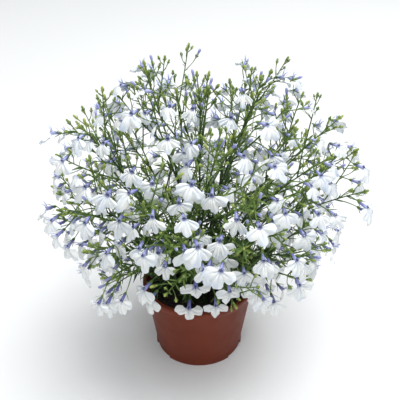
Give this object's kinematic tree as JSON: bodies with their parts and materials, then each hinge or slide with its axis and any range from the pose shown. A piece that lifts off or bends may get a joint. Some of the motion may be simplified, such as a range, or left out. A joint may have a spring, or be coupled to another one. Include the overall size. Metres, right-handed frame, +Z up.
{
  "type": "potted edging lobelia",
  "caption": "Edging lobelia in a small brown plastic nursery pot of peat: a loose ball of thin branched sprays with white lipped blooms on violet tubes.",
  "frame": {"origin": "centre of the pot's base, on the surface that it stands on", "axes": "+Z up through the pot, -Y towards the front of the bush"},
  "size_m": [0.2474, 0.2469, 0.2345],
  "materials": {
    "pot": "satin, brown",
    "peat": "granular, near black",
    "foliage": "soft, fresh green",
    "bloom": "matt, white with a violet-blue tint"
  },
  "bodies": {
    "root": {"pot": "pot", "peat": "peat", "spray_front": "bloom", "spray_01": "bloom", "spray_02": "bloom", "spray_03": "bloom", "spray_04": "bloom", "spray_05": "bloom", "spray_06": "bloom", "spray_07": "bloom", "spray_08": "bloom", "spray_09": "bloom", "spray_10": "bloom", "spray_11": "bloom", "spray_12": "bloom", "spray_13": "bloom", "spray_14": "bloom", "spray_15": "bloom", "spray_16": "bloom", "spray_17": "bloom", "spray_18": "bloom", "spray_19": "bloom", "spray_20": "bloom", "spray_21": "bloom", "spray_22": "bloom", "spray_23": "bloom", "spray_24": "bloom", "spray_25": "bloom", "spray_26": "bloom", "spray_27": "bloom", "spray_28": "bloom", "spray_top": "bloom", "shoot_1": "foliage", "shoot_2": "foliage", "shoot_3": "foliage", "shoot_4": "foliage", "shoot_5": "foliage", "shoot_6": "foliage", "shoot_7": "foliage", "shoot_8": "foliage"}
  },
  "joints": []
}
